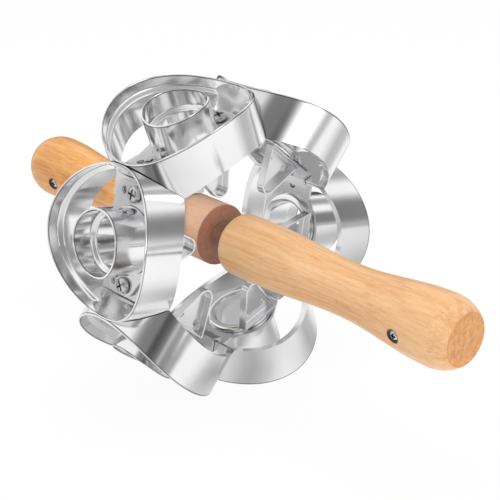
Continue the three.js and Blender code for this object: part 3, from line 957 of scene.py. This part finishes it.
polished = steel_material(
    "polished_steel",
    dark=srgb(241, 241, 242),
    light=srgb(250, 250, 250),
    rough=(0.1, 0.24),
    stretch=(1, 1, 12),
    grain_bump=0.02,
    # painted dark line below the rim
    rim=0.75,
)
sheet_steel = steel_material(
    "sheet_steel",
    dark=srgb(223, 223, 224),
    light=srgb(237, 237, 238),
    rough=(0.18, 0.32),
    stretch=(1, 8, 1),
    grain_bump=0.04,
)
screw_steel = steel_material(
    "screw_steel",
    dark=srgb(197, 197, 198),
    light=srgb(217, 217, 218),
    rough=(0.16, 0.3),
    stretch=(1, 1, 1),
    grain_bump=0.04,
    # painted shade in the recesses of the screws
    recess_shade=0.6,
)
bronze = steel_material(
    "bush_bronze",
    dark=srgb(176, 134, 78),
    light=srgb(204, 164, 104),
    rough=(0.25, 0.45),
    stretch=(9, 1, 1),
    grain_bump=0.05,
)
near_wood = wood_material(
    "near_handle_wood",
    stops=[(0.3, srgb(215, 155, 98)), (0.5, srgb(238, 187, 134)), (0.7, srgb(251, 208, 159))],
    pore=srgb(242, 226, 208),
    rough=(0.32, 0.46),
    ends={
        "middle": (NEAR_OUTER + NEAR_INNER) / 2,
        "half": NEAR_HANDLE / 2,
        "edge": 0.4,
        "dark": srgb(206, 135, 70),
        "light": srgb(234, 169, 98),
    },
    bore=NEAR_OUTER - CROSS_AT,
)
far_wood = wood_material(
    "far_handle_wood",
    stops=[(0.34, srgb(209, 138, 69)), (0.5, srgb(229, 163, 91)), (0.66, srgb(244, 189, 123))],
    pore=srgb(236, 214, 190),
    rough=(0.32, 0.46),
    ends={
        "middle": (FAR_OUTER + FAR_INNER) / 2,
        "half": FAR_HANDLE / 2,
        "edge": 0.4,
        "dark": srgb(202, 131, 69),
        "light": srgb(229, 160, 96),
    },
    bore=FAR_OUTER + CROSS_AT,
)
hub_wood = wood_material(
    "hub_wood",
    stops=[(0.3, srgb(221, 171, 138)), (0.5, srgb(228, 181, 149)), (0.7, srgb(236, 193, 164))],
    pore=srgb(238, 226, 216),
    rough=(0.42, 0.56),
    # End grain, darkened further with painted shade on the hub's cross-cut faces
    ends={
        "middle": HUB_NEAR - HUB_LENGTH / 2,
        "half": HUB_LENGTH / 2,
        "edge": 1.0,
        "dark": srgb(142, 92, 67),
        "light": srgb(158, 106, 80),
    },
)
# Spacers: dark brown matched to the shaded hub end, so painted shade
spacer_wood = wood_material(
    "spacer_wood",
    stops=[(0.36, srgb(123, 77, 55)), (0.5, srgb(133, 86, 63)), (0.64, srgb(144, 94, 70))],
    pore=srgb(236, 226, 218),
    rough=(0.42, 0.56),
)


# Drum
cutter_pieces = [
    ("ring_cutter", ring_mesh(), polished, "polished_steel"),
    ("hole_cutter", hole_mesh(), polished, "polished_steel"),
    ("bridge", bridge_mesh(), sheet_steel, "sheet_steel"),
    ("tab", tab_mesh(), sheet_steel, "sheet_steel"),
]
bridge_screw = screw_mesh(
    "bridge_screw", SCREW_HEAD_R, SCREW_HEAD_HEIGHT, SCREW_R, BRIDGE_TOP + GAP, SCREW_TIP
)
for index in range(CUTTERS):
    number = index + 1
    place = spoke(2 * SECTOR * index)
    for stem, shape, material, slot in cutter_pieces:
        node = f"{stem}_{number}"
        make_object(f"{node}_fine", shape.copy(), material, place, "drum", slot, node)
    for letter, y in (("a", -SCREW_AT), ("b", SCREW_AT)):
        node = f"bridge_screw_{number}{letter}"
        first_turn, turn_step = RECESS_TURNS[letter]
        turn = Matrix.Rotation(first_turn + turn_step * index, 4, "Z")
        spot = place @ Matrix.Translation((0, y * MM, 0)) @ turn
        make_object(f"{node}_fine", bridge_screw.copy(), screw_steel, spot, "drum", "screw_steel", node)

hub = make_object("hub_fine", hub_mesh(), hub_wood, DRUM_FRAME, "drum", "hub_wood", "hub")
hub.visible_glossy = False

# Handles
cross_under = grip_radius(CROSS_AT) - CROSS_HEAD_HEIGHT - GAP
cross_tip = -AXLE_R - CROSS_PAST_AXLE
cross_screw = screw_mesh("cross_screw", CROSS_HEAD_R, CROSS_HEAD_HEIGHT, CROSS_R, cross_under, cross_tip)
hole_floor = cross_under - GAP
hole_mouth = 30.0
head_hole = [(0, hole_floor), (CROSS_BORE_R, hole_floor), (CROSS_BORE_R, hole_mouth), (0, hole_mouth)]
for end, side, outer, length, material in (
    ("near", 1, NEAR_OUTER, NEAR_HANDLE, near_wood),
    ("far", -1, FAR_OUTER, FAR_HANDLE, far_wood),
):
    node = f"handle_{end}"
    shape = handle_mesh(node, side, outer, length)
    piece = make_object(f"{node}_fine", shape, material, TO_PART, "grip", f"{end}_handle_wood", node)
    cross_at = Matrix.Translation(((outer - side * CROSS_AT) * MM, 0, 0))
    spot = TO_PART @ cross_at @ Matrix.Rotation(-CROSS_TURN, 4, "X")
    cut(piece, lathe_mesh("head_hole", head_hole, facets=32, axis="Z"), spot)
    piece.visible_glossy = False
    node = f"cross_screw_{end}"
    make_object(f"{node}_fine", cross_screw.copy(), screw_steel, spot, "grip", "screw_steel", node)

for end, low, length in (
    ("near", HUB_NEAR + END_PLAY, NEAR_SPACER),
    ("far", HUB_FAR - END_PLAY - FAR_SPACER, FAR_SPACER),
):
    node = f"spacer_{end}"
    shape = spacer_mesh(low, length)
    piece = make_object(f"{node}_fine", shape, spacer_wood, TO_PART, "grip", "spacer_wood", node)
    piece.visible_glossy = False

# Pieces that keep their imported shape
packed_looks = {
    "seam_bar_": sheet_steel,
    "leg_screw_": screw_steel,
    "leg_": sheet_steel,
    "axle": screw_steel,
    "hub_bush_": bronze,
}
for name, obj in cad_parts.items():
    looks = [material for stem, material in packed_looks.items() if name.startswith(stem)]
    if looks:
        obj.data.materials.clear()
        obj.data.materials.append(looks[0])


# Studio
def ray_kinds(tree):
    """Whether a ray comes from the camera, a mirror or glass, and whether it comes from a mirror."""
    path = add(tree, "ShaderNodeLightPath")
    mirrored = path.outputs["Is Glossy Ray"]
    seen = math_node(tree, "MAXIMUM", path.outputs["Is Camera Ray"], mirrored)
    return math_node(tree, "MAXIMUM", seen, path.outputs["Is Transmission Ray"]), mirrored


def mix_surface(tree, share, first, second, output):
    """Surface of an output that goes from the first shader to the second."""
    mix = add(tree, "ShaderNodeMixShader")
    tree.links.new(share, mix.inputs["Fac"])
    tree.links.new(first, mix.inputs[1])
    tree.links.new(second, mix.inputs[2])
    tree.links.new(mix.outputs["Shader"], tree.nodes[output].inputs["Surface"])


def make_floor():
    """Pale floor: white to the camera, graded for polished metal with painted shade under the drum, and
    with the object's soft shadow.
    """
    mesh = bpy.data.meshes.new("floor")
    corners = [
        (x * FLOOR_REACH, y * FLOOR_REACH, cad_low.z)
        for x, y in ((-1, -1), (1, -1), (1, 1), (-1, 1))
    ]
    mesh.from_pydata(corners, [], [(0, 1, 2, 3)])
    floor = link("floor", mesh)
    paint, tree, shader = new_material("floor_paint")
    shader.inputs["Base Color"].default_value = (FLOOR_GREY, FLOOR_GREY, FLOOR_GREY, 1)
    shader.inputs["Roughness"].default_value = 0.8
    shader.inputs["Specular IOR Level"].default_value = 0.0
    place = add(tree, "ShaderNodeTexCoord").outputs["Object"]
    axes = split(tree, place)
    bearing = math_node(tree, "ARCTAN2", axes["Y"], axes["X"])
    bearing = math_node(tree, "MULTIPLY_ADD", bearing, 0.5 / math.pi, 0.5)
    away = vector_node(tree, "LENGTH", place)
    by_bearing = grey_ramp(tree, bearing, FLOOR_BY_BEARING)
    by_distance = grey_ramp(tree, math_node(tree, "DIVIDE", away, FLOOR_SPAN), FLOOR_BY_DISTANCE)
    graded = blend(tree, 1.0, by_bearing, by_distance, "MULTIPLY")
    # Painted shade under the drum, in what polished metal mirrors
    beyond = spread(tree, away, 0.0, 1.0, *UNDER_DRUM_FADE)
    graded = blend(tree, beyond, grey_ramp(tree, bearing, FLOOR_SHADE_UNDER_DRUM), graded)
    seen, mirrored = ray_kinds(tree)
    white = add(tree, "ShaderNodeEmission")
    tree.links.new(blend(tree, mirrored, WHITE, graded), white.inputs["Color"])
    white.inputs["Strength"].default_value = 1.0
    share = math_node(tree, "MULTIPLY", seen, FLOOR_SHOWN)
    mix_surface(tree, share, shader.outputs["BSDF"], white.outputs["Emission"], "Material Output")
    floor.data.materials.append(paint)
    floor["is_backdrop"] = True


def make_tent():
    """World: even light on the object, white to the camera, and dark panels that polished metal mirrors."""
    world = bpy.data.worlds.new("studio")
    bpy.context.scene.world = world
    world.use_nodes = True
    tree = world.node_tree
    ambient = tree.nodes["Background"]
    ambient.inputs["Color"].default_value = (*WHITE, 1)
    ambient.inputs["Strength"].default_value = AMBIENT
    ahead = add(tree, "ShaderNodeTexCoord").outputs["Generated"]
    tent = grey_ramp(tree, split(tree, ahead)["Z"], TENT_BY_HEIGHT)
    for bearing_deg, height_deg, inner_deg, outer_deg, depth in PANELS:
        turn, lift = math.radians(bearing_deg), math.radians(height_deg)
        inner, outer = math.radians(inner_deg), math.radians(outer_deg)
        flat = math.cos(lift)
        centre = (flat * math.cos(turn), flat * math.sin(turn), math.sin(lift))
        facing = vector_node(tree, "DOT_PRODUCT", ahead, centre)
        fade = spread(tree, facing, 1.0, 1.0 - depth, math.cos(outer), math.cos(inner), "SMOOTHSTEP")
        tent = blend(tree, 1.0, tent, fade, "MULTIPLY")
    seen, mirrored = ray_kinds(tree)
    bright = add(tree, "ShaderNodeBackground")
    tree.links.new(blend(tree, mirrored, WHITE, tent), bright.inputs["Color"])
    bright.inputs["Strength"].default_value = 1.0
    mix_surface(tree, seen, ambient.outputs["Background"], bright.outputs["Background"], "World Output")


def make_light(name, kind, place, target, power, mirrored):
    data = bpy.data.lights.new(name, kind)
    data.energy = power
    obj = link(name, data)
    obj.location = place
    obj.rotation_mode = "QUATERNION"
    obj.rotation_quaternion = (Vector(target) - Vector(place)).to_track_quat("-Z", "Y")
    obj.visible_glossy = mirrored
    return data


def make_lights():
    for name, place, size, power, mirrored in AREA_LIGHTS:
        area = make_light(name, "AREA", place, (0, 0, 0), power, mirrored)
        area.shape = "RECTANGLE"
        area.size, area.size_y = size
    spot = make_light("hub_spot", "SPOT", HUB_SPOT_AT, HUB_SPOT_AIM, HUB_SPOT_POWER, False)
    spot.spot_size = HUB_SPOT_CONE
    spot.spot_blend = 1.0
    spot.shadow_soft_size = HUB_SPOT_R


def make_camera():
    data = bpy.data.cameras.new("camera")
    data.lens = LENS
    data.sensor_width = SENSOR
    data.clip_start = CLIP_START
    camera = link("camera", data)
    forward = FORWARD.normalized()
    right = (RIGHT - RIGHT.dot(forward) * forward).normalized()
    up = right.cross(forward)
    pose = Matrix((right, up, -forward)).transposed().to_4x4()
    pose.translation = EYE * MM
    camera.matrix_world = DRUM_FRAME @ pose
    bpy.context.scene.camera = camera


make_floor()
make_tent()
make_lights()
make_camera()
bpy.context.scene.view_settings.view_transform = "Standard"

low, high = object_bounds()
